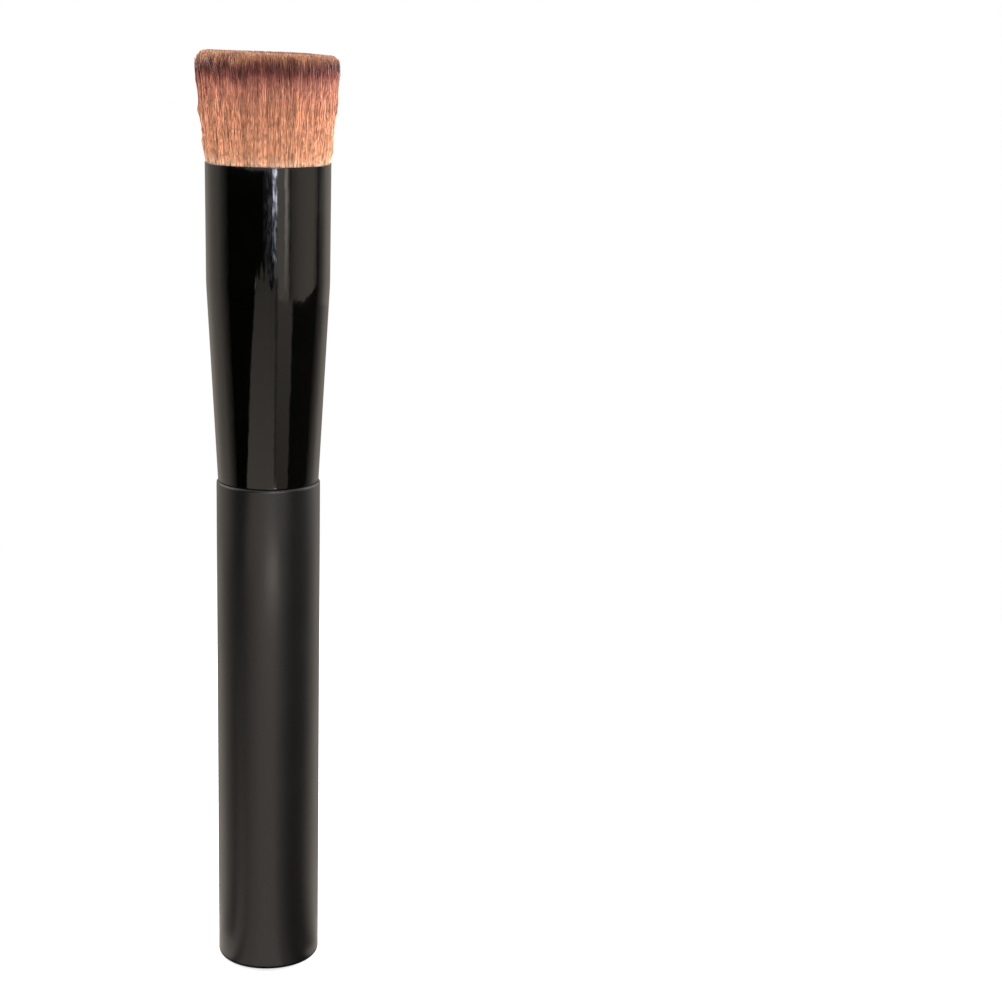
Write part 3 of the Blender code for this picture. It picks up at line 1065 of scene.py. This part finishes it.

# %% [markdown]
# ## Planting the fibres
#
# A real head has ten to twenty thousand fibres. Blender's hair could draw them, but hair isn't a mesh, and
# each piece here has to be a solid that can be measured. So each fibre is a thin solid. The roots lie like
# the seeds of a sunflower: each is turned from the last by the golden angle, and a little further out, which
# packs a round bundle evenly with no rows to see.
#
# Crimped fibres hook into their neighbours. So they gather into strands, strands into locks and locks into
# tufts. Each of these has a lean and a slow wave of its own, and a fibre is drawn a little towards the middle
# of its lock. The fibres of a strand share a crinkle at each point of their path, and most of them a shade
# with its painted glints, and that breaks their shine into the short dashes that crimped nylon shows. The
# whole head leans a hair to the left, and its left side is the looser one.

# %% How a tuft, lock, strand or fibre strays
HEAD_LEVELS = 11
TUFT = {"size": 1.7 * MM, "lean": 0.09 * MM, "wave": 0.09 * MM, "wave_length": 6.5 * MM, "dye": 0.008}
LOCK = {"size": 0.55 * MM, "lean": 0.08 * MM, "wave": 0.07 * MM, "wave_length": 4.6 * MM, "dye": 0.012}
STRAND = {"size": 0.4 * MM, "lean": 0.05 * MM, "wave": 0.03 * MM, "wave_length": 3.4 * MM, "dye": 0.012}
FIBRE = {"lean": 0.08 * MM, "wave": 0.02 * MM, "wave_length": 3.0 * MM, "dye": 0.010}
CRINKLE = 0.06 * MM
SHORTEST_WAVE, LONGEST_WAVE = 0.8, 1.25
LAST_SHADE = 0.999


def wandering(chance, kind, lean=None):
    """How one tuft, lock, strand or fibre strays from the straight: its lean, wave, crinkle and dye."""
    turn = chance.uniform(0, 2 * math.pi)
    lean = kind["lean"] if lean is None else lean
    return {
        "lean": (chance.gauss(0, lean), chance.gauss(0, lean)),
        "wave": (kind["wave"] * math.cos(turn), kind["wave"] * math.sin(turn)),
        "wave_length": kind["wave_length"] * chance.uniform(SHORTEST_WAVE, LONGEST_WAVE),
        "phase": chance.uniform(0, 2 * math.pi),
        "dye_shift": chance.gauss(0, kind["dye"]),
        "shade": chance.uniform(0, LAST_SHADE),
        "crinkle": [(chance.gauss(0, CRINKLE), chance.gauss(0, CRINKLE)) for _ in range(HEAD_LEVELS + 1)],
    }


for kind, title in ((TUFT, "tuft"), (LOCK, "lock"), (STRAND, "strand")):
    print("a", title, "is", round(kind["size"] / MM, 2), "mm across")

# %% The path of a fibre
HEAD_LEAN = 0.1 * MM
LEFT_LOOSENESS = 0.2
HELD_SHARE = 0.25
CLINGING = 0.14
OWN_CRINKLE = 0.5


def straight_path(root_x, root_y, heights):
    """Where a root's fibre would run along the form of the head, as a list of x and y."""
    radius = math.hypot(root_x, root_y)
    outward = max(how_far_out(radius), 0)
    from_middle = min(radius / WELL_ROOT_RADIUS, 1)
    shares = [form_radius(height, outward) * from_middle / radius for height in heights]
    return [(root_x * share, root_y * share) for share in shares]


def fibre_path(root, lock_middle, ways, heights):
    """The points of a fibre that strays from its straight path, root first.

    It is held at the root, and free from a quarter of the way up. ways are how its tuft, its lock, its
    strand and the fibre itself stray, in that order.
    """
    loose_here = 1 + LEFT_LOOSENESS * max(-root[0] / BUNDLE_RADIUS, 0)
    strand, fibre = ways[-2:]
    path = []
    straight = zip(heights, straight_path(*root, heights), straight_path(*lock_middle, heights))
    for level, (height, own, middle) in enumerate(straight):
        free = (height + ROOT_DEPTH) / FIBRE_LENGTH
        loose = min(free / HELD_SHARE, 1) * loose_here
        place = [own[axis] + (middle[axis] - own[axis]) * CLINGING * free for axis in (0, 1)]
        for way in ways:
            sway = math.sin(2 * math.pi * height / way["wave_length"] + way["phase"]) * loose
            for axis in (0, 1):
                place[axis] += way["lean"][axis] * free**2 + way["wave"][axis] * sway
        for axis in (0, 1):
            crinkle = strand["crinkle"][level][axis] + OWN_CRINKLE * fibre["crinkle"][level][axis]
            place[axis] += crinkle * loose
        place[0] -= HEAD_LEAN * free**2
        path.append((*place, mouth_height + height))
    return path


outer_path = straight_path(BUNDLE_RADIUS, 0, (0, HEAD_HEIGHT))
print("an outer fibre leans out by", round((outer_path[1][0] - outer_path[0][0]) / MM, 2), "mm")

# %% [markdown]
# ## The dye at the cut
#
# Round the rim the fibres end in tan tips, but the flat of the cut inside it is a darker brown. The tan at
# the rim is partly painted light from the lamps behind, and the dark that reaches deeper down the fibres near
# the well is partly painted shade of the deep well. A second material for the inner fibres would leave a hard
# ring where the two meet. So all of them keep one scale of colours, and inside the rim a fibre runs along it
# in
# another way: the dark dye and painted shade reach deeper down it, and its tip stops short of the scale's tan
# end. The change comes little by little.

# %% The dye along a fibre
SCALE_START, SCALE_END = 0.002, 0.998
# The tan of the tips round the rim is partly painted light from the lamps behind the brush. Inside the rim
# the dark reaches deeper down each fibre, partly as painted shade of the deep well.
TAN_RIM = 0.82
RIM_BLEND = 0.16
DEEPER_DYE_AND_SHADE = 0.6
DARKER_TIP = 0.108


def dye_along(heights, dyed_length, outward, stretch=1.0):
    """Where on the dye's scale, 0 at the root and 1 at the tip, each height of a fibre lies."""
    inside_rim = min(max(TAN_RIM - outward, 0) / RIM_BLEND, 1) if outward > 0 else 0
    dye = []
    for height in heights:
        undyed = 1 - (height + ROOT_DEPTH) / dyed_length * stretch
        dyed = 1 - undyed * (1 - DEEPER_DYE_AND_SHADE * inside_rim)
        dye.append(min(max(dyed, SCALE_START), SCALE_END - DARKER_TIP * inside_rim))
    return dye


for title, outward in (("rim", 1), ("flat of the cut", 0.5)):
    tip = dye_along([HEAD_HEIGHT], FIBRE_LENGTH, outward)[0]
    print("a tip at the", title, "is at", round(tip, 3), "of the dye's scale")

# %% Sow the roots and lay the paths
FIBRE_COUNT = 20000
GOLDEN_ANGLE = math.pi * (3 - math.sqrt(5))
WELL_LEVELS = 5
WELL_DEPTH = 8.4 * MM
WELL_FLOOR_DISH = 0.8 * MM
# The well floor's tips end in the dark band of the scale: partly the dye, partly painted shade of the deep
# well.
WELL_TIP_DYE_AND_SHADE = 0.85
OFF_CENTRE = 0.01
TIP_UNEVENNESS = 0.13 * MM
STRAY_SHARE = 0.004
STRAY_LEAN = 0.35 * MM
SHADE_OF_ITS_OWN = 0.25
SEED = 11


def whose_sector(angle):
    """The number, from 0, of the slice of the bundle that an angle falls in."""
    return int(angle / (2 * math.pi) * SECTORS) % SECTORS


def sown_fibres():
    """Yields (sector, path, shade, dye) for each fibre. A fibre of the well's floor has no sector."""
    chance = random.Random(SEED)
    ways_of = {}
    for number in range(FIBRE_COUNT):
        radius = BUNDLE_RADIUS * math.sqrt((number + 0.5) / FIBRE_COUNT)
        angle = number * GOLDEN_ANGLE
        root = radius * math.cos(angle), radius * math.sin(angle)
        ways = []
        for kind in (TUFT, LOCK, STRAND):
            cell = kind["size"], round(root[0] / kind["size"]), round(root[1] / kind["size"])
            if cell not in ways_of:
                ways_of[cell] = wandering(chance, kind)
            ways.append(ways_of[cell])
        lock_middle = [(round(side / LOCK["size"]) + OFF_CENTRE) * LOCK["size"] for side in root]
        ways.append(wandering(chance, FIBRE, STRAY_LEAN if chance.random() < STRAY_SHARE else None))
        uneven = chance.gauss(0, TIP_UNEVENNESS)
        shade = ways[-1 if chance.random() < SHADE_OF_ITS_OWN else -2]["shade"]
        outward = how_far_out(radius)
        if outward < 0:
            sector, levels = None, WELL_LEVELS
            from_middle = radius / WELL_ROOT_RADIUS
            top = HEAD_HEIGHT - WELL_DEPTH - WELL_FLOOR_DISH * (1 - from_middle**2) + uneven
            dyed_length = (top + ROOT_DEPTH) / WELL_TIP_DYE_AND_SHADE
        else:
            sector, levels = whose_sector(angle), HEAD_LEVELS
            top = cut_height(angle, outward) + min(uneven, TIP_UNEVENNESS)
            dyed_length = FIBRE_LENGTH
        heights = [-ROOT_DEPTH + (top + ROOT_DEPTH) * level / levels for level in range(levels + 1)]
        path = fibre_path(root, lock_middle, ways, heights)
        stretch = 1 + sum(way["dye_shift"] for way in ways)
        yield sector, path, shade, dye_along(heights, dyed_length, outward, stretch)


planted = {}
for sector, *fibre in sown_fibres():
    planted.setdefault(sector, []).append(fibre)
print(FIBRE_COUNT, "fibres in", len(planted), "groups")

# %% [markdown]
# ## Growing the fibres
#
# All the fibres of a group grow together. Curves with a thickness would give the same shape, but the points
# of a curve can't carry a shade and a dye. Here a strip of small faces is split into loose ones, each is set
# at a root, and then one extrude at a time lifts every face by one level of its path, which leaves a thin
# three-sided fibre behind it. Shaded smooth, three sides are enough to look round at a tenth of a
# millimetre. Along the way each corner is told its shade and its place on the dye's scale, and at the end
# these become the map.


# %% A helper that fills the fibres' map
def add_fibre_map(mesh):
    """Copies the shade and the dye from the corners' own values to the map that the material reads."""
    corners = np.empty(len(mesh.loops), dtype=np.int32)
    mesh.loops.foreach_get("vertex_index", corners)
    columns = []
    for layer in ("across", "along"):
        values = np.empty(len(mesh.vertices), dtype=np.float32)
        mesh.attributes[layer].data.foreach_get("value", values)
        columns.append(values[corners])
    mesh.uv_layers.new(name=FIBRE_MAP).data.foreach_set("uv", np.stack(columns, axis=1).ravel())
    print(mesh.name, "has", len(corners), "corners in its map")


# %% A helper that grows one group of fibres
FIBRE_RADIUS = 0.062 * MM
TIP_SHARE = 0.6
TAPER_POWER = 3
SIDES = 3
# Where in its shade's column of the map a fibre's first corner lies, and the step to the next.
FIRST_CORNER = 0.2
NEXT_CORNER = 0.3


def grown_fibres(name, fibres, material, node):
    """Makes one piece of all the fibres of a group, which stands for one measured node."""
    work = bmesh.new()
    bmesh.ops.create_grid(work, x_segments=(len(fibres) + 1) // 2, y_segments=1, size=1.0)
    bmesh.ops.triangulate(work, faces=work.faces)
    bmesh.ops.split_edges(work, edges=work.edges)
    spare = list(work.faces)[len(fibres) :]
    bmesh.ops.delete(work, geom=spare, context="FACES")
    across = work.verts.layers.float.new("across")
    along = work.verts.layers.float.new("along")
    tops = list(work.faces)
    levels = len(fibres[0][0]) - 1
    for level in range(levels + 1):
        if level > 0:
            tops = bmesh.ops.extrude_discrete_faces(work, faces=tops)["faces"]
        share = level / levels
        thick = FIBRE_RADIUS * (1 - (1 - TIP_SHARE) * share**TAPER_POWER)
        for number, (face, (path, shade, dye)) in enumerate(zip(tops, fibres)):
            x, y, z = path[level]
            column = math.floor(shade * SHADES)
            for corner, vert in enumerate(face.verts):
                turn = number + 2 * math.pi * corner / SIDES
                vert.co = (x + thick * math.cos(turn), y + thick * math.sin(turn), z)
                vert[across] = (column + FIRST_CORNER + NEXT_CORNER * corner) / SHADES
                vert[along] = dye[level]
    rims = [edge for edge in work.edges if edge.is_boundary]
    bmesh.ops.holes_fill(work, edges=rims, sides=SIDES)
    bmesh.ops.recalc_face_normals(work, faces=work.faces)
    piece = link_mesh(name, work, material, smooth=True)
    add_fibre_map(piece.data)
    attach(piece, "root")
    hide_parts(node)
    print(name, len(fibres), "fibres,", len(piece.data.polygons), "faces")


# %% Grow the head
nylon = dyed_nylon_with_painted_light()
for sector, fibres in planted.items():
    if sector is None:
        grown_fibres("well_floor_fibres", fibres, nylon, "centre_tuft")
    else:
        group = f"head_fibres_{sector + 1:02d}"
        grown_fibres(group, fibres, nylon, f"bristle_sector_{sector + 1:02d}")

# %% [markdown]
# ## Measuring the dressed brush
#
# A skin may not change the size of what it dresses. So the box of the measured solids and the box of the
# dressed brush are kept side by side.

# %% Measure and finish
dressed_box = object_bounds()
print("dressed box", [round(side / MM, 1) for side in dressed_box[1] - dressed_box[0]], "mm")
[[list(corner) for corner in box] for box in (cad_box, dressed_box)]
